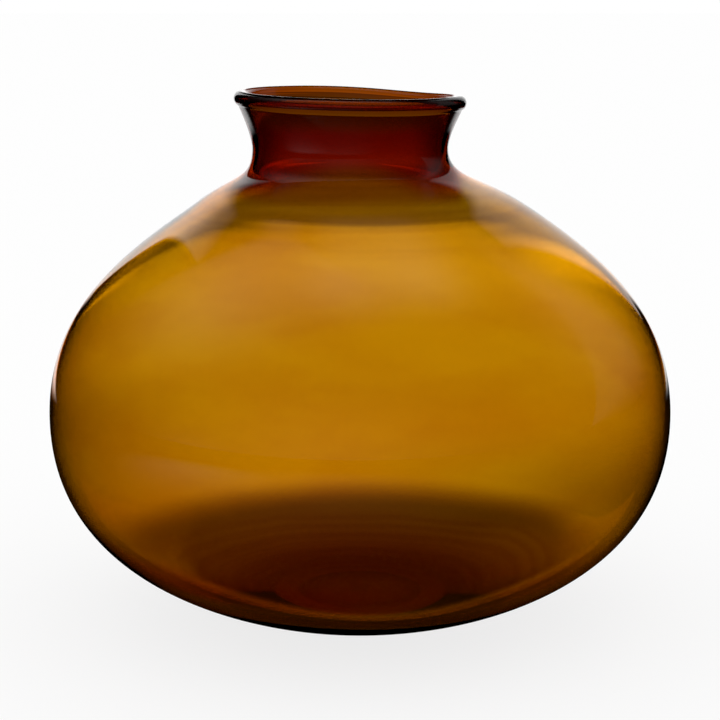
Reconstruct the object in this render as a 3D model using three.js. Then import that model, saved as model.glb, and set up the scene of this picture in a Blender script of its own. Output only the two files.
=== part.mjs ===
import * as THREE from 'three';

// Blown amber glass bulb vase. Millimetres, +Z up, foot on z = 0 and body axis on Z.

// Body of the bulb
const bellyRadius = 145;
const bellyHeight = 97;
const bellyWall = 1.8;
const bellyReach = 0.71;
const shoulderRadius = 74.6;
const shoulderHeight = 194.9;
const shoulderSlope = 34.4;
const shoulderWall = 1.5;
const thinStart = 150;
const thinEnd = 185;
const shoulderRise = 0.513;
const shoulderReach = 0.334;

// Foot and thick bottom
const footRadius = 41.7;
const footAngle = 15.5;
const footReach = 0.365;
const kickRadius = 30;
const kickHeight = 0.2;
const bowlWall = 2.05;
const dishFloor = 7;
const dishPower = 3.4;
const baseShare = 0.5;

// Neck, standing a little off the body axis
const neckRadius = 45.1;
const neckRise = 25;
const neckHeight = shoulderHeight + neckRise;
const neckOffset = -4.5;
const rootReach = 0.534;
const rootRise = 0.576;

// Rolled lip
const lipRadius = 53.3;
const lipWall = 5.5;
const rimRise = 25.3;
const rimHeight = neckHeight + rimRise;
const beadRadius = 3.5;
const undercutAngle = 62;
const flareAngle = 27;
const flareReach = 0.25;
const mouthAngle = 28;
const lipTilt = 1.1;

// Collar: the wall growing thicker from above the shoulder to the lip
const collarStart = shoulderHeight + 5.1;
const collarEnd = rimHeight + 0.8;

const segments = 64;

const point = (radius, height) => new THREE.Vector2(radius, height);
const degrees = THREE.MathUtils.degToRad;
const slope = (angle) => point(Math.cos(degrees(angle)), Math.sin(degrees(angle)));
const { smoothstep } = THREE.MathUtils;

// Cubic curve leaving `start` along `away` and reaching `end` along `into`.
function sweep(start, away, end, into) {
  return new THREE.CubicBezierCurve(start, start.clone().add(away), end.clone().sub(into), end);
}

// Points of a curve between two of its parameters, both ends included.
function stretch(curve, from, to, count) {
  return Array.from({ length: count + 1 }, (_, i) => curve.getPoint(from + (to - from) * i / count));
}

// Outside of the bowl: from the foot's edge up to the widest line.
const belly = point(bellyRadius, bellyHeight);
const bowlCurve = sweep(
  point(footRadius, 0),
  slope(footAngle).multiplyScalar(footReach * (bellyRadius - footRadius)),
  belly,
  point(0, bellyReach * bellyHeight),
);

// Outside of the shoulder: from the widest line in to the line where it turns up into the neck.
const inward = slope(180 - shoulderSlope);
const turn = point(shoulderRadius, shoulderHeight);
const shoulderCurve = sweep(
  belly,
  point(0, shoulderRise * (shoulderHeight - bellyHeight)),
  turn,
  inward.clone().multiplyScalar(shoulderReach * turn.distanceTo(belly)),
);

// Lip: a bead rolled outwards, ending inside the mouth.
const beadCurve = new THREE.EllipseCurve(
  lipRadius - beadRadius, rimHeight - beadRadius, beadRadius, beadRadius,
  degrees(-undercutAngle), degrees(180 - mouthAngle),
);
const join = beadCurve.getPoint(0);

// Outside of the neck: the hollow curve from the shoulder to the waist, then out to the lip.
const waist = point(neckRadius, neckHeight);
const rootCurve = sweep(
  turn,
  inward.clone().multiplyScalar(rootReach * turn.distanceTo(waist)),
  waist,
  point(0, rootRise * (neckHeight - shoulderHeight)),
);
const flareRise = flareReach * (join.y - neckHeight);
const flareCurve = sweep(waist, point(0, flareRise), join, slope(90 - flareAngle).multiplyScalar(flareRise));

// Hollow under the foot, domed up from its standing ring.
const kick = new THREE.QuadraticBezierCurve(
  point(0, kickHeight),
  point(0.6 * kickRadius, kickHeight),
  point(kickRadius, 0),
);

// Thickness of the wall at a height of its outside: thinnest in the shoulder, growing again to the lip.
function wall(height) {
  const low = (bellyWall - bowlWall) * smoothstep(height, bellyHeight / 2, bellyHeight);
  const high = (shoulderWall - bellyWall) * smoothstep(height, thinStart, thinEnd);
  const collar = (lipWall - shoulderWall) * smoothstep(height, collarStart, collarEnd);
  return bowlWall + low + high + collar;
}

// Pairs of points along an outside curve: one on it, and one straight through the wall from it.
function course(curve, from, to, count) {
  return Array.from({ length: count + 1 }, (_, i) => {
    const t = from + (to - from) * i / count;
    const outer = curve.getPoint(t);
    const along = curve.v1.clone().sub(curve.v0).multiplyScalar((1 - t) ** 2)
      .add(curve.v2.clone().sub(curve.v1).multiplyScalar(2 * (1 - t) * t))
      .add(curve.v3.clone().sub(curve.v2).multiplyScalar(t ** 2))
      .normalize();
    const inner = point(-along.y, along.x).multiplyScalar(wall(outer.y)).add(outer);
    return { outer, inner };
  });
}

const bowl = course(bowlCurve, baseShare, 1, 9);
const shoulder = [bowl.at(-1), ...course(shoulderCurve, 0, 1, 11).slice(1)];
const neck = [
  shoulder.at(-1),
  ...course(rootCurve, 0, 1, 7).slice(1),
  ...course(flareCurve, 0, 1, 4).slice(1),
];

// Inner floor: a dish from the edge of the bowl down to the middle.
const edge = bowl[0].inner;
const dish = [1, 0.93, 0.86, 0.77, 0.66, 0.52, 0.3, 0].map(
  (share) => point(edge.x * share, dishFloor + (edge.y - dishFloor) * share ** dishPower),
);

// Closed outlines, up the outside and down the inside.
const ringOutline = (pairs) => [...pairs.map((p) => p.outer), ...pairs.map((p) => p.inner).reverse()];
const outlines = {
  base: [...stretch(kick, 0, 1, 4), ...stretch(bowlCurve, 0, baseShare, 7), ...dish],
  bowl: ringOutline(bowl),
  shoulder: ringOutline(shoulder),
  neck: ringOutline(neck),
  lip_ring: [join, ...stretch(beadCurve, 1 / 11, 1, 10), neck.at(-1).inner],
};

const glass = {
  base: { color: 0x4a2400, roughness: 0.06, metalness: 0 },
  bowl: { color: 0xa66a02, roughness: 0.06, metalness: 0 },
  shoulder: { color: 0xb87a12, roughness: 0.06, metalness: 0 },
  neck: { color: 0x560a02, roughness: 0.06, metalness: 0 },
  lip_ring: { color: 0x3c0b02, roughness: 0.06, metalness: 0 },
};

// Sets the neck off the axis and tips the lip, as the blown glass has set.
function settle(geometry) {
  const position = geometry.getAttribute('position');
  const leanStart = shoulderHeight - 6;
  const leanEnd = neckHeight - 1.5;
  for (let i = 0; i < position.count; i += 1) {
    const x = position.getX(i);
    const z = position.getZ(i);
    const lean = smoothstep(z, leanStart, leanEnd);
    const tip = smoothstep(z, neckHeight, join.y);
    position.setX(i, x + neckOffset * lean);
    position.setZ(i, z - x * Math.tan(degrees(lipTilt)) * tip);
  }
  geometry.computeVertexNormals();
  return geometry;
}

function turned(name) {
  const outline = outlines[name];
  const closed = outline[0].x > 0 ? [...outline, outline[0].clone()] : outline;
  const geometry = settle(new THREE.LatheGeometry(closed, segments).rotateX(Math.PI / 2));
  const mesh = new THREE.Mesh(geometry, new THREE.MeshStandardMaterial(glass[name]));
  mesh.name = name;
  return mesh;
}

const vase = new THREE.Group();
vase.name = 'vase';
Object.keys(outlines).forEach((name) => vase.add(turned(name)));

export default vase;
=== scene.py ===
"""Bulb vase in blown amber glass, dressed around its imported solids. Metres, +Z up, seen from -Y."""

import math

import bpy
import numpy as np
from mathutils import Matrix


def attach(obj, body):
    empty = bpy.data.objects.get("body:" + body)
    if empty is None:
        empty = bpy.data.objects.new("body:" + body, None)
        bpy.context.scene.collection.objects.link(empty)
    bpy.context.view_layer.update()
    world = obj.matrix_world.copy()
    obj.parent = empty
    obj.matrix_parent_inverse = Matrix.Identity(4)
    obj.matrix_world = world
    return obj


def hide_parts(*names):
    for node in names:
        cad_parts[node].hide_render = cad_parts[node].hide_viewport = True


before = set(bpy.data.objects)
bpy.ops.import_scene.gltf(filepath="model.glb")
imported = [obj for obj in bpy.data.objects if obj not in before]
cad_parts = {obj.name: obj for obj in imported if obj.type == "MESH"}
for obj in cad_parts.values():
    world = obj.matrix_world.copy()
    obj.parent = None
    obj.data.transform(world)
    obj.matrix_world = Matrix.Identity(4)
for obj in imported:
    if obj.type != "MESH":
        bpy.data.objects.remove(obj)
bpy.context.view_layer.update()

# Foot and bottom
# The vase stands on a flat ring round an almost flat kick. The bottom is the thickest glass of the body, because the
# hot gather settles there into a dish while it is blown, and it keeps faint rings from being turned on the pipe.
mm = 0.001
FOOT_RADIUS = 41.7 * mm
KICK_RADIUS = 30 * mm
KICK_HEIGHT = 0.2 * mm
KICK_ROUND = 1.2
DISH_EDGE = 27 * mm
DISH_FLOOR = 7 * mm
DISH_POWER = 3.4
# Painted shade: the bottom glass is darker up to 24 to 36 mm, for the shadow under the vase.
BOTTOM_PAINTED_SHADE = "#d3bcaa"
BOTTOM_TOP = (24 * mm, 36 * mm)
RING_SHADE = "#ecd7d4"
RING_SPACING = 9.1 * mm
RING_WANDER = 3
RING_SHARE = (0.45, 0.62)
RING_TOP = (14 * mm, 30 * mm)

kick_run = np.linspace(0, 1, 11)[1:]
kick = np.stack([KICK_RADIUS * kick_run, KICK_HEIGHT * (1 - kick_run**2) ** KICK_ROUND], 1)
foot_ring = np.stack([np.linspace(KICK_RADIUS, FOOT_RADIUS, 5)[1:], np.zeros(4)], 1)

# Bowl
# The lower half of the bulb, blown out from the foot to its widest line, where the wall is stretched thin. The glass
# is a little cloudy, and a redder cord of it lies low on the front left.
BELLY_RADIUS = 145 * mm
BELLY_HEIGHT = 97 * mm
BOWL_WALL = 2.05 * mm
BELLY_WALL = 1.8 * mm
FOOT_ANGLE = 15.5
FOOT_REACH = 0.365
BELLY_REACH = 0.71
BOWL_STEPS = 60
CLOUD_SHADE = "#f8f1eb"
CLOUD_LENGTH = 111 * mm
CLOUD_HEIGHT = 38.5 * mm
CLOUD_SHARE = (0.42, 0.64)
CORD_RED = "#f9bfbc"
CORD_FOOT = (30 * mm, 38 * mm)
CORD_TOP = (42 * mm, 56 * mm)
CORD_BACK = (-60 * mm, -30 * mm)
CORD_RIGHT = (-20 * mm, 20 * mm)
CORD_REST = 0.3


def heading(degrees):
    """Unit vector in the profile plane (radius, height), turned up from the radius by an angle in degrees."""
    return np.array([math.cos(math.radians(degrees)), math.sin(math.radians(degrees))])


def sweep(start, away, end, into, count):
    """Cubic Bezier curve that leaves start along away and reaches end along into, without its first point."""
    t = np.linspace(0, 1, count + 1)[1:, None]
    knots = [np.asarray(p, float) for p in (start, np.add(start, away), np.subtract(end, into), end)]
    weights = [(1 - t) ** 3, 3 * (1 - t) ** 2 * t, 3 * (1 - t) * t**2, t**3]
    return sum(w * k for w, k in zip(weights, knots))


belly = np.array([BELLY_RADIUS, BELLY_HEIGHT])
bowl = sweep(
    [FOOT_RADIUS, 0],
    heading(FOOT_ANGLE) * FOOT_REACH * (BELLY_RADIUS - FOOT_RADIUS),
    belly,
    [0, BELLY_REACH * BELLY_HEIGHT],
    BOWL_STEPS,
)

# Shoulder
# The upper half of the bulb, drawn in from the widest line to the neck while the glass hung from the pipe. Its wall
# is the thinnest, and fine turning lines run round it under the neck.
SHOULDER_RADIUS = 74.6 * mm
SHOULDER_HEIGHT = 194.9 * mm
SHOULDER_SLOPE = 34.4
SHOULDER_WALL = 1.5 * mm
SHOULDER_RISE = 0.513
SHOULDER_REACH = 0.334
SHOULDER_STEPS = 56
THIN_START = 150 * mm
THIN_END = 185 * mm
TURNED_SHADE = "#efe7da"
TURNED_LENGTH = 200 * mm
TURNED_SPACING = 2.38 * mm
TURNED_SHARE = (0.45, 0.65)
TURNED_FOOT = (178 * mm, 192 * mm)
TURNED_TOP = (204 * mm, 212 * mm)

inward = heading(180 - SHOULDER_SLOPE)
turn = np.array([SHOULDER_RADIUS, SHOULDER_HEIGHT])
shoulder = sweep(
    belly,
    [0, SHOULDER_RISE * (SHOULDER_HEIGHT - BELLY_HEIGHT)],
    turn,
    inward * SHOULDER_REACH * np.hypot(*(turn - belly)),
    SHOULDER_STEPS,
)

# Lip
# The cut edge of the neck, softened in the fire and rolled outwards into a round bead, browner than the body from the
# heat. It sets a little tipped, with a dip in its back right.
LIP_RADIUS = 53.3 * mm
LIP_WALL = 5.5 * mm
RIM_HEIGHT = 245.2 * mm
BEAD_RADIUS = 3.5 * mm
UNDERCUT_ANGLE = 62
MOUTH_ANGLE = 28
LIP_TILT = 1.1
LIP_DIP = 1.7 * mm
LIP_DIP_AZIMUTH = 48
LIP_DIP_WIDTH = 38
LIP_BROWN = "#cbbc95"
LIP_FOOT = (228 * mm, 237 * mm)

bead_centre = np.array([LIP_RADIUS - BEAD_RADIUS, RIM_HEIGHT - BEAD_RADIUS])
bead_angles = np.radians(np.linspace(-UNDERCUT_ANGLE, 180 - MOUTH_ANGLE, 31))
bead = bead_centre + BEAD_RADIUS * np.stack([np.cos(bead_angles), np.sin(bead_angles)], 1)

# Neck
# The glass next to the pipe, pinched in to a waist and opened again towards the lip, with a wall that grows up to it.
# It was heated again and again, so the amber has struck red in it. At its root the arch-shaped lower edge of that
# red, a darker, browner band in the middle and darker sides up the neck are painted shade, for the dark that the
# bent glass there gives.
NECK_RADIUS = 45.1 * mm
NECK_HEIGHT = 219.9 * mm
NECK_OFFSET = -4.5 * mm
LEAN_START = SHOULDER_HEIGHT - 6 * mm
LEAN_END = NECK_HEIGHT - 1.5 * mm
COLLAR_START = 200 * mm
COLLAR_END = 246 * mm
ROOT_REACH = 0.534
ROOT_RISE = 0.576
ROOT_STEPS = 30
FLARE_ANGLE = 27
FLARE_REACH = 0.25
FLARE_STEPS = 14
NECK_RED = "#f18e59"
RED_FOOT = (199 * mm, 207 * mm)
# The red is the glass's own; the arch that its lower edge follows at the root is painted shade.
RED_SHADE_ARCH = (207.5 * mm, 216.5 * mm)
RED_SHADE_ARCH_BEND = 8.5
# Painted shade: darker sides up the neck, above its root.
FLANK_PAINTED_SHADE = "#cebcbc"
FLANK_EDGE = (28 * mm, 43 * mm)
FLANK_FOOT = (205 * mm, 212 * mm)
# Painted shade: a darker, browner band in the middle of the neck's root.
ROOT_PAINTED_SHADE = "#d3b17c"
ROOT_SHADE_FOOT = (197 * mm, 203.5 * mm)
ROOT_SHADE_TOP = (209 * mm, 216 * mm)
COLUMN_EDGE = (46 * mm, 52 * mm)
COLUMN_TOP = (206 * mm, 212 * mm)

waist = np.array([NECK_RADIUS, NECK_HEIGHT])
root = sweep(
    turn,
    inward * ROOT_REACH * np.hypot(*(turn - waist)),
    waist,
    [0, ROOT_RISE * (NECK_HEIGHT - SHOULDER_HEIGHT)],
    ROOT_STEPS,
)
flare_rise = FLARE_REACH * (bead[0, 1] - NECK_HEIGHT)
flare = sweep(waist, [0, flare_rise], bead[0], heading(90 - FLARE_ANGLE) * flare_rise, FLARE_STEPS)

# The blown wall
# All of the above is one gather of glass, so it is one closed skin: up the outside, over the lip, down the inside.
# Hand work leaves faint ripples in it, and a wall that is thicker low on the left and in the middle of the upper half,
# and thinner high at the sides.
TURNS = 256
OUTER_RIPPLE = 0.06 * mm
OUTER_SEED = 4
INNER_RIPPLE = 0.07 * mm
INNER_SEED = 11
RIPPLE_WAVES = 7
RIPPLE_EDGE = (44 * mm, 90 * mm)
RIPPLE_TOP = (190 * mm, 205 * mm)
LOW_EXTRA = 0.4 * mm
LOW_EDGE = (30 * mm, 90 * mm)
LOW_TOP = (24 * mm, 62 * mm)
LOW_LEFT = (-30 * mm, 110 * mm)
MIDDLE_EXTRA = 0.36 * mm
MIDDLE_HEIGHT = (122 * mm, 26 * mm)
MIDDLE_SPREAD = (-30 * mm, 60 * mm)
SIDE_LOSS = 0.28 * mm
SIDE_HEIGHT = (150 * mm, 28 * mm)
SIDE_CENTRE = 10 * mm
SIDE_EDGE = (20 * mm, 100 * mm)


def smooth(value, start, end):
    """Rises from 0 at start to 1 at end along a smoothstep."""
    t = np.clip((value - start) / (end - start), 0, 1)
    return t * t * (3 - 2 * t)


def bell(value, middle, width):
    """Falls from 1 at the middle as e to the minus square of the distance over the width."""
    return np.exp(-(((value - middle) / width) ** 2))


def side(profile):
    """Unit normals of a profile, to the right of its run, which is outwards on the way up."""
    run = np.gradient(profile, axis=0)
    return np.stack([run[:, 1], -run[:, 0]], 1) / np.hypot(*run.T)[:, None]


def spun(profile):
    """Turns a profile of (radius, height) about Z into a grid of points, one row for each profile point."""
    azimuth = np.arange(TURNS) * 2 * math.pi / TURNS
    radius, height = profile[:, :1], profile[:, 1:]
    return np.stack(np.broadcast_arrays(radius * np.cos(azimuth), radius * np.sin(azimuth), height), 2)


def ripple(points, depth, seed):
    """Sum of long sine waves in azimuth and height with seeded phases, as hand work leaves on a bubble of glass."""
    draw = np.random.default_rng(seed)
    azimuth = np.arctan2(points[..., 1], points[..., 0])
    total = np.zeros(points.shape[:-1])
    for _ in range(RIPPLE_WAVES):
        around = draw.integers(1, 6)
        length = draw.uniform(70, 220) * mm
        phase = draw.uniform(0, 2 * math.pi)
        total += np.sin(around * azimuth + 2 * math.pi * points[..., 2] / length + phase)
    return depth * total / math.sqrt(RIPPLE_WAVES)


def settled(points):
    """Sets the neck off the body's axis, tips the lip and lets its back right dip, as the hot glass set."""
    x, y, z = np.moveaxis(points, -1, 0)
    lean = smooth(z, LEAN_START, LEAN_END)
    tip = smooth(z, NECK_HEIGHT, bead[0, 1])
    dip = LIP_DIP * bell(np.degrees(np.arctan2(y, x)), LIP_DIP_AZIMUTH, LIP_DIP_WIDTH)
    return np.stack([x + NECK_OFFSET * lean, y, z - tip * (x * math.tan(math.radians(LIP_TILT)) + dip)], -1)


body = np.concatenate([bowl, shoulder, root, flare])
body_height = body[:, 1]
wall = BOWL_WALL + (BELLY_WALL - BOWL_WALL) * smooth(body_height, BELLY_HEIGHT / 2, BELLY_HEIGHT)
wall += (SHOULDER_WALL - BELLY_WALL) * smooth(body_height, THIN_START, THIN_END)
wall += (LIP_WALL - SHOULDER_WALL) * smooth(body_height, COLLAR_START, COLLAR_END)
hollow = (body - side(body) * wall[:, None])[body_height > DISH_EDGE]
dish_run = np.linspace(1, 0, 32)[1:-1, None]
dish_radius, dish_top = hollow[0]
dish = np.concatenate([dish_radius * dish_run, DISH_FLOOR + (dish_top - DISH_FLOOR) * dish_run**DISH_POWER], 1)

outside = np.concatenate([kick, foot_ring, body, bead[1:]])
rows = np.concatenate([outside, hollow[::-1], dish])
is_inside = (np.arange(len(rows)) >= len(outside))[:, None]
skin = spun(rows)
radius, height, x = rows[:, :1], rows[:, 1:], skin[..., 0]
ripples = np.where(is_inside, ripple(skin, INNER_RIPPLE, INNER_SEED), ripple(skin, OUTER_RIPPLE, OUTER_SEED))
rippled = smooth(radius, *RIPPLE_EDGE) * (1 - smooth(height, *RIPPLE_TOP))
low = smooth(radius, *LOW_EDGE) * (1 - smooth(height, *LOW_TOP))
uneven = LOW_EXTRA * low * smooth(-x, *LOW_LEFT)
uneven += MIDDLE_EXTRA * bell(height, *MIDDLE_HEIGHT) * bell(x, *MIDDLE_SPREAD)
uneven -= SIDE_LOSS * bell(height, *SIDE_HEIGHT) * smooth(np.abs(x - SIDE_CENTRE), *SIDE_EDGE)
shift = ripples * rippled + is_inside * uneven
skin = settled(skin + spun(side(rows)) * shift[..., None])

ring = np.arange(TURNS)
following = (ring + 1) % TURNS
first = np.arange(len(skin) - 1)[:, None] * TURNS
quads = np.stack(
    [first + ring, first + following, first + TURNS + following, first + TURNS + ring], -1
).reshape(-1, 4)
last = (len(skin) - 1) * TURNS
under_pole, floor_pole = last + TURNS, last + TURNS + 1
under_fan = np.stack([np.full(TURNS, under_pole), following, ring], -1)
floor_fan = np.stack([np.full(TURNS, floor_pole), last + ring, last + following], -1)
points = np.concatenate([skin.reshape(-1, 3), [[0, 0, KICK_HEIGHT], [0, 0, DISH_FLOOR]]])
faces = quads.tolist() + under_fan.tolist() + floor_fan.tolist()

vase_mesh = bpy.data.meshes.new("vase_glass")
vase_mesh.from_pydata(points, [], faces)
vase_mesh.polygons.foreach_set("use_smooth", np.ones(len(faces), bool))
vase = bpy.data.objects.new("vase_glass", vase_mesh)
bpy.context.scene.collection.objects.link(vase)

# Soda-lime glass, coloured amber in the melt and polished by the fire: smooth and clear, with a colour that deepens
# with the path through it, from honey in the thin walls to brown in the bottom. The marks of each piece stain it,
# and some of these stains are painted shade: the darker bottom, and the red arch, browner band and darker sides at
# the neck's root.
AMBER = "#f6e800"
AMBER_DENSITY = 1938
GLASS_IOR = 1.51
WOBBLE_LENGTH = 83.3 * mm
WOBBLE_HEIGHT = 11.1 * mm
WOBBLE = 6 * mm


def linear(code):
    """Turns an sRGB hex code into linear red, green, blue and a full alpha."""
    srgb = np.array([int(code[i : i + 2], 16) for i in (1, 3, 5)]) / 255
    return (*np.where(srgb <= 0.04045, srgb / 12.92, ((srgb + 0.055) / 1.055) ** 2.4).tolist(), 1.0)


def add(tree, kind, sockets=None, **settings):
    """Adds a node, sets its properties, and fills its sockets: each is linked to another socket or set to a value."""
    node = tree.nodes.new(kind)
    for name, value in settings.items():
        setattr(node, name, value)
    for name, source in (sockets or {}).items():
        if isinstance(source, bpy.types.NodeSocket):
            tree.links.new(source, node.inputs[name])
        else:
            node.inputs[name].default_value = source
    return node


def soft_edge(value, edge, before=0, after=1):
    """Goes along a smoothstep from one level to another, while a value runs from the start to the end of an edge."""
    sockets = {0: value, 1: edge[0], 2: edge[1], 3: before, 4: after}
    return add(value.id_data, "ShaderNodeMapRange", sockets, interpolation_type="SMOOTHSTEP").outputs[0]


def product(first, *others):
    """Product of several levels. For shares from 0 to 1 it is where all of them hold."""
    for other in others:
        first = add(first.id_data, "ShaderNodeMath", {0: first, 1: other}, operation="MULTIPLY").outputs[0]
    return first


def largest(first, *others):
    """Largest of several levels. For shares from 0 to 1 it is where any of them holds."""
    for other in others:
        first = add(first.id_data, "ShaderNodeMath", {0: first, 1: other}, operation="MAXIMUM").outputs[0]
    return first


def summed(first, *others):
    """Sum of several levels, such as that of lights together."""
    for other in others:
        first = add(first.id_data, "ShaderNodeMath", {0: first, 1: other}, operation="ADD").outputs[0]
    return first


def stained(colour, share, shade):
    """Multiplies a colour by a hex shade, as far as the share goes."""
    sockets = {"Fac": share, "Color1": colour, "Color2": linear(shade)}
    return add(share.id_data, "ShaderNodeMixRGB", sockets, blend_type="MULTIPLY").outputs[0]


def grain(place, length, height, detail):
    """Noise at a place on the vase, drawn out to a length round it and a height up it, from 0 to 1."""
    scale = (1 / length, 1 / length, 1 / height)
    drawn = add(place.id_data, "ShaderNodeMapping", {"Vector": place, "Scale": scale}).outputs[0]
    return add(place.id_data, "ShaderNodeTexNoise", {"Vector": drawn, "Scale": 1, "Detail": detail}).outputs["Fac"]


amber = bpy.data.materials.new("blown_amber_glass")
amber.use_nodes = True
tree = amber.node_tree
tree.nodes.clear()
place = add(tree, "ShaderNodeTexCoord").outputs["Object"]
sideways, depth, level = add(tree, "ShaderNodeSeparateXYZ", {0: place}).outputs
off_neck = summed(sideways, -NECK_OFFSET)
aside = add(tree, "ShaderNodeMath", {0: off_neck}, operation="ABSOLUTE").outputs[0]
wobble = summed(grain(place, WOBBLE_LENGTH, WOBBLE_HEIGHT, 2), -0.5)
line = summed(level, product(wobble, WOBBLE))
clouds = grain(place, CLOUD_LENGTH, CLOUD_HEIGHT, 3)
tint = stained(linear("#ffffff"), soft_edge(clouds, CLOUD_SHARE), CLOUD_SHADE)

column = largest(soft_edge(aside, COLUMN_EDGE, 1, 0), soft_edge(level, COLUMN_TOP))
under_lip = soft_edge(level, LIP_FOOT, 1, 0)
# Painted shade: a darker, browner band in the middle of the neck's root.
root_painted_shade = product(soft_edge(line, ROOT_SHADE_FOOT), soft_edge(line, ROOT_SHADE_TOP, 1, 0), column)
tint = stained(tint, root_painted_shade, ROOT_PAINTED_SHADE)
turned = soft_edge(grain(place, TURNED_LENGTH, TURNED_SPACING, 2), TURNED_SHARE)
turned = product(turned, soft_edge(level, TURNED_FOOT), soft_edge(level, TURNED_TOP, 1, 0))
tint = stained(tint, turned, TURNED_SHADE)
# The neck's own struck red, with its lower edge drawn as an arch of painted shade at the root.
arch = summed(line, product(aside, aside, RED_SHADE_ARCH_BEND))
red_and_painted_shade = product(soft_edge(arch, RED_SHADE_ARCH), soft_edge(level, RED_FOOT), column, under_lip)
tint = stained(tint, red_and_painted_shade, NECK_RED)
# Painted shade: darker sides up the neck, above its root.
flank_painted_shade = product(soft_edge(aside, FLANK_EDGE), soft_edge(level, FLANK_FOOT), under_lip)
tint = stained(tint, flank_painted_shade, FLANK_PAINTED_SHADE)
tint = stained(tint, soft_edge(level, LIP_FOOT), LIP_BROWN)

cord = product(soft_edge(line, CORD_FOOT), soft_edge(line, CORD_TOP, 1, 0), soft_edge(depth, CORD_BACK, 1, 0))
tint = stained(tint, product(cord, soft_edge(sideways, CORD_RIGHT, 1, CORD_REST)), CORD_RED)
# Painted shade: the bottom glass darkened up to 24 to 36 mm, for the shadow under the vase.
tint = stained(tint, soft_edge(level, BOTTOM_TOP, 1, 0), BOTTOM_PAINTED_SHADE)
flat = add(tree, "ShaderNodeVectorMath", {0: place, 1: (1, 1, 0)}, operation="MULTIPLY").outputs[0]
spread = add(tree, "ShaderNodeVectorMath", {0: flat}, operation="LENGTH").outputs["Value"]
swirl = summed(product(spread, 1 / RING_SPACING), product(clouds, RING_WANDER))
rings = add(tree, "ShaderNodeTexNoise", {"W": swirl, "Scale": 1, "Detail": 2}, noise_dimensions="1D").outputs["Fac"]
tint = stained(tint, product(soft_edge(rings, RING_SHARE), soft_edge(level, RING_TOP, 1, 0)), RING_SHADE)

sockets = {"Base Color": tint, "IOR": GLASS_IOR, "Roughness": 0, "Transmission Weight": 1}
glass = add(tree, "ShaderNodeBsdfPrincipled", sockets)
soak = add(tree, "ShaderNodeVolumeAbsorption", {"Color": linear(AMBER), "Density": AMBER_DENSITY})
add(tree, "ShaderNodeOutputMaterial", {"Surface": glass.outputs[0], "Volume": soak.outputs[0]})
vase_mesh.materials.append(amber)
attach(vase, "root")
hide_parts("base", "bowl", "shoulder", "neck", "lip_ring")

# Table
# A white table top under the vase, of painted board. Through the glass it shows a painted shadow, dim and amber
# under the vase, with painted light and shadow round it. In the mirror of the glass it is painted dark, as black
# cards would make it, with painted reflections of a pale strip behind and two pale patches in front.
TABLE_REACH = 12
TABLE_WHITE = "#f9f9f9"
TABLE_GLOW = 0.8
# Colour of the painted shadow under the vase, amber as if lit through the glass.
AMBER_SHADOW_UNDER_VASE = "#fff959"

corners = np.array([[-1, -1, 0], [1, -1, 0], [1, 1, 0], [-1, 1, 0]]) * TABLE_REACH
table_mesh = bpy.data.meshes.new("floor")
table_mesh.from_pydata(corners, [], [(0, 1, 2, 3)])
table = bpy.data.objects.new("floor", table_mesh)
bpy.context.scene.collection.objects.link(table)


def patch(place, x, y, reach, middle, outside=0):
    """A round patch on the table, going along a smoothstep from its middle's level to the level outside its reach."""
    away = add(place.id_data, "ShaderNodeVectorMath", {0: place, 1: (x, y, 0)}, operation="DISTANCE")
    return soft_edge(away.outputs["Value"], (0, reach), middle, outside)


def more_than(count, faces):
    """1 for light that has met more than so many faces of the glass, and else 0."""
    return add(count.id_data, "ShaderNodeMath", {0: count, 1: faces + 0.5}, operation="GREATER_THAN").outputs[0]


board = bpy.data.materials.new("white_table")
board.use_nodes = True
tree = board.node_tree
tree.nodes.clear()
path = add(tree, "ShaderNodeLightPath").outputs
place = add(tree, "ShaderNodeTexCoord").outputs["Object"]
across, back, _ = add(tree, "ShaderNodeSeparateXYZ", {0: place}).outputs
away = add(tree, "ShaderNodeVectorMath", {0: place}, operation="LENGTH").outputs["Value"]
oval = add(tree, "ShaderNodeVectorMath", {0: place, 1: (1.3, 1, 1)}, operation="MULTIPLY").outputs[0]
oval = add(tree, "ShaderNodeVectorMath", {0: oval}, operation="LENGTH").outputs["Value"]

# The table as it is seen past the vase: mostly lit evenly, and painted enough to keep a faint shadow.
painted = add(tree, "ShaderNodeBsdfDiffuse", {"Color": linear(TABLE_WHITE)}).outputs[0]
lit = add(tree, "ShaderNodeEmission", {"Color": linear("#ffffff"), "Strength": 1}).outputs[0]
white = add(tree, "ShaderNodeMixShader", {"Fac": TABLE_GLOW, 1: painted, 2: lit}).outputs[0]

# The table through the glass, all painted light and shadow: a painted shadow under the vase, amber from the glass,
# painted shadows behind it to the left and right, and painted light behind it to the right and far off at both sides.
shaded = soft_edge(oval, (0.165, 0.24), 0.33, 1)
shaded = summed(shaded, patch(place, -0.01, -0.02, 0.09, 0.16), patch(place, 0.14, 0.07, 0.10, 0.3))
near = soft_edge(away, (0.3, 0.5), 1.13, 1.02)
middle = soft_edge(away, (0.65, 1.15), 1, 1.25)
far_off = soft_edge(away, (1.32, 1.53), 1, 0.36)
right_back = product(soft_edge(across, (0.12, 0.36), 0, 0.5), soft_edge(back, (0.33, 0.6)))
left_side = soft_edge(across, (-0.5, -0.2), 1.6, 1)
far_sides = largest(soft_edge(across, (-0.45, -0.25), 1.7, 0), soft_edge(across, (0.17, 0.32), 0, 1.7))
far_sides = product(far_sides, soft_edge(back, (1.05, 1.27)), soft_edge(back, (1.8, 3.5), 1, 0.2))
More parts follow.
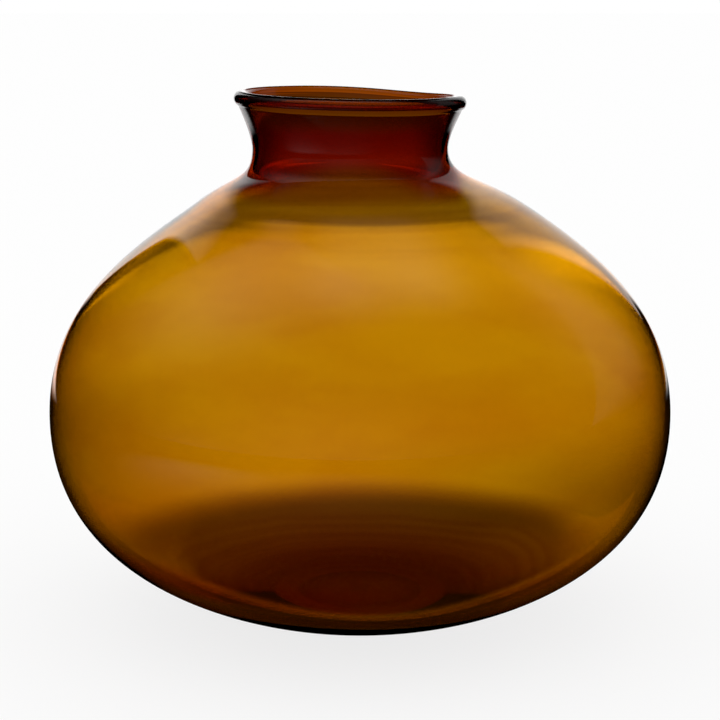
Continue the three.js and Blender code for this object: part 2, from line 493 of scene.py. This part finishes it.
# Painted shadows behind the vase to the left and right.
left_painted_shadow = patch(place, -0.40, 0.27, 0.40, 0.2, 1)
right_painted_shadow = patch(place, 0.18, 0.17, 0.26, 0.5, 1)
shaded = product(shaded, near, middle, far_off, summed(right_back, 1), left_side, summed(far_sides, 1))
shaded = product(shaded, left_painted_shadow, right_painted_shadow)
sockets = {"Fac": soft_edge(away, (0.08, 0.17)), "Color1": linear(AMBER_SHADOW_UNDER_VASE), "Color2": linear("#ffffff")}
amber_light = add(tree, "ShaderNodeMixRGB", sockets).outputs[0]
through = add(tree, "ShaderNodeEmission", {"Color": amber_light, "Strength": shaded}).outputs[0]
seen = add(tree, "ShaderNodeMixShader", {0: path["Is Transmission Ray"], 1: white, 2: through}).outputs[0]

# The table in the mirror of the glass: painted reflections of a pale strip behind, two pale patches in front and a
# fill near the vase. The strip behind shows strongest in the inner face of the front wall, and weakly from inside the
# vase.
in_wall = more_than(path["Transmission Depth"], 0)
in_vase = more_than(path["Transmission Depth"], 2)
fill = product(in_wall, soft_edge(away, (0.1, 0.25), 2, 1), soft_edge(away, (0.3, 0.6), 0.12, 0.05))
straight_back = add(tree, "ShaderNodeMath", {0: back, 1: 0.01}, operation="MAXIMUM").outputs[0]
slant = add(tree, "ShaderNodeMath", {0: across, 1: straight_back}, operation="DIVIDE").outputs[0]
slant = add(tree, "ShaderNodeMath", {0: slant}, operation="ABSOLUTE").outputs[0]
strip = product(soft_edge(across, (0.40, 0.47), 1, 0), soft_edge(across, (-0.56, -0.48)))
strip = largest(strip, soft_edge(slant, (0.30, 0.38), 1, 0))
strip = product(strip, soft_edge(back, (0.5, 0.7)), soft_edge(slant, (0, 0.2), 1.4, 0.9))
strip = product(strip, summed(product(in_wall, 2), product(in_vase, -2.85), 1))
# Painted reflections: two pale patches in front, a fill near the vase and the strip behind.
painted_reflections = summed(patch(place, -0.5, -0.37, 0.36, 0.24), patch(place, -0.12, -0.62, 0.5, 0.08), fill, strip)
painted_reflections = add(tree, "ShaderNodeEmission", {"Color": linear("#ffffff"), "Strength": painted_reflections}).outputs[0]
mirrored = more_than(path["Glossy Depth"], 0)
surface = add(tree, "ShaderNodeMixShader", {0: mirrored, 1: seen, 2: painted_reflections}).outputs[0]
add(tree, "ShaderNodeOutputMaterial", {"Surface": surface})
table_mesh.materials.append(board)

# Studio
# White all round. The glass mirrors a dark room instead, with a white cloth scrim behind the vase, open in its upper
# middle, and soft lights above and beside it. Each light is an azimuth, elevation, spread in degrees and a strength.
BACKDROP_THROUGH = 0.45
LEFT_LIGHT = (-72, 58, 17, 0.36)
SOFT_LIGHTS = [
    (0, 89, 9, 0.30),
    (62, 74, 8, 0.40),
    (72, 26, 12, 0.05),
    (57, 38, 11, 0.06),
    (-60, 82, 8, 0.25),
    (-168, -6, 32, 0.09),
    (-119, -12, 10, 0.20),
]


def glow(toward, azimuth, elevation, spread, strength):
    """A round soft light in a direction, falling off as a bell from its middle, to half at its spread in degrees."""
    flat = math.cos(math.radians(elevation))
    east, north = flat * math.sin(math.radians(azimuth)), flat * math.cos(math.radians(azimuth))
    sockets = {0: toward, 1: (east, north, math.sin(math.radians(elevation)))}
    facing = add(toward.id_data, "ShaderNodeVectorMath", sockets, operation="DOT_PRODUCT").outputs["Value"]
    sharpness = math.log(2) / (1 - math.cos(math.radians(spread)))
    fall = product(summed(facing, -1), sharpness)
    fall = add(toward.id_data, "ShaderNodeMath", {0: fall}, operation="EXPONENT").outputs[0]
    return product(fall, strength)


def leaning(edge, above, lean):
    """Place across the backdrop less lean times the place above, for an edge that leans outwards."""
    return summed(edge, product(above, -lean))


studio = bpy.data.worlds.new("studio")
bpy.context.scene.world = studio
studio.use_nodes = True
tree = studio.node_tree
tree.nodes.clear()
path = add(tree, "ShaderNodeLightPath").outputs
toward = add(tree, "ShaderNodeTexCoord").outputs["Generated"]
east, north, up = add(tree, "ShaderNodeSeparateXYZ", {0: toward}).outputs

# Places on the backdrop, as steps across and above for each step back.
ahead = add(tree, "ShaderNodeMath", {0: north, 1: 0.001}, operation="MAXIMUM").outputs[0]
across = add(tree, "ShaderNodeMath", {0: east, 1: ahead}, operation="DIVIDE").outputs[0]
above = add(tree, "ShaderNodeMath", {0: up, 1: ahead}, operation="DIVIDE").outputs[0]
aside = add(tree, "ShaderNodeMath", {0: across}, operation="ABSOLUTE").outputs[0]
leftward = product(across, -1)

# The backdrop itself: white, but dimmer through the glass, and brighter there at its foot on both sides.
foot = summed(soft_edge(across, (-0.14, -0.05), 1.3, 0), soft_edge(across, (0.05, 0.25)))
foot = product(foot, soft_edge(above, (0, 0.03), 1, 0))
through = product(path["Is Transmission Ray"], summed(foot, BACKDROP_THROUGH - 1))
plain = add(tree, "ShaderNodeBackground", {"Color": linear("#ffffff"), "Strength": summed(through, 1)}).outputs[0]

# The scrim in the mirror of the glass: leaning edges, an opening in its upper middle, and a fall of light up it.
left_edge = summed(leaning(leftward, above, 0.6), soft_edge(above, (0, 0.35), -0.08, 0))
right_edge = leaning(across, above, 0.36)
scrim = product(soft_edge(right_edge, (0.40, 0.45), 1, 0), soft_edge(left_edge, (0.232, 0.248), 1, 0))
right_wing = soft_edge(leaning(across, above, 0.6), (-0.07, 0.03))
left_wing = soft_edge(leaning(leftward, above, 0.7), (-0.02, 0.10))
scrim = product(scrim, largest(right_wing, left_wing, soft_edge(above, (0.1, 0.22), 1, 0)))
scrim = product(scrim, soft_edge(above, (-0.27, -0.2)), soft_edge(above, (1.12, 1.3), 1, 0))
scrim = product(scrim, soft_edge(above, (0.75, 1.25), 1, 0.5), soft_edge(across, (0.1, 0.5), 1, 0.45))
is_left = add(tree, "ShaderNodeMath", {0: across, 1: 0}, operation="LESS_THAN").outputs[0]
left_fall = product(is_left, soft_edge(above, (0.35, 0.85), 0, -0.7))
scrim = product(scrim, summed(left_fall, 1), soft_edge(aside, (0, 0.2), 1.5, 0.95))

# The inner face of the front wall shows the scrim more strongly than the outer face does.
in_wall = more_than(path["Transmission Depth"], 0)
in_vase = more_than(path["Transmission Depth"], 2)
wall_face = summed(in_wall, product(in_vase, -1))
wall_face = product(wall_face, soft_edge(across, (-0.1, 0.3), 1.8, 0.8), soft_edge(above, (0, 0.15)))
scrim = product(scrim, summed(wall_face, 1))

side_light = product(soft_edge(across, (0.8, 1.4)), soft_edge(above, (-0.1, 0.45), 0, 0.1))
side_light = product(side_light, soft_edge(above, (1.3, 2.2), 1, 0))
left_light = product(glow(toward, *LEFT_LIGHT), soft_edge(leaning(across, above, 0.055), (-1.16, -1.0), 1, 0))
lights = summed(scrim, side_light, left_light, *[glow(toward, *light) for light in SOFT_LIGHTS])
dark_room = add(tree, "ShaderNodeBackground", {"Color": linear("#ffffff"), "Strength": lights}).outputs[0]
mirrored = more_than(path["Glossy Depth"], 0)
surface = add(tree, "ShaderNodeMixShader", {0: mirrored, 1: plain, 2: dark_room}).outputs[0]
add(tree, "ShaderNodeOutputWorld", {"Surface": surface})

# Camera
# Where the photograph was taken from: 0.9 m in front of the vase and a little above its lip, level from side to side.
CAMERA_PLACE = (0.0, -0.9, 0.3018)
TARGET_HEIGHT = 0.1201
FOCAL_PIXELS = 1951.8
IMAGE_PIXELS = 720

lens = bpy.data.cameras.new("camera")
lens.sensor_width = 36.0
lens.lens = lens.sensor_width * FOCAL_PIXELS / IMAGE_PIXELS
camera = bpy.data.objects.new("camera", lens)
bpy.context.scene.collection.objects.link(camera)
pitch = math.atan2(TARGET_HEIGHT - CAMERA_PLACE[2], -CAMERA_PLACE[1])
camera.location = CAMERA_PLACE
camera.rotation_euler = (math.pi / 2 + pitch, 0, 0)
bpy.context.scene.camera = camera
bpy.context.scene.view_settings.view_transform = "Standard"

bpy.context.view_layer.update()
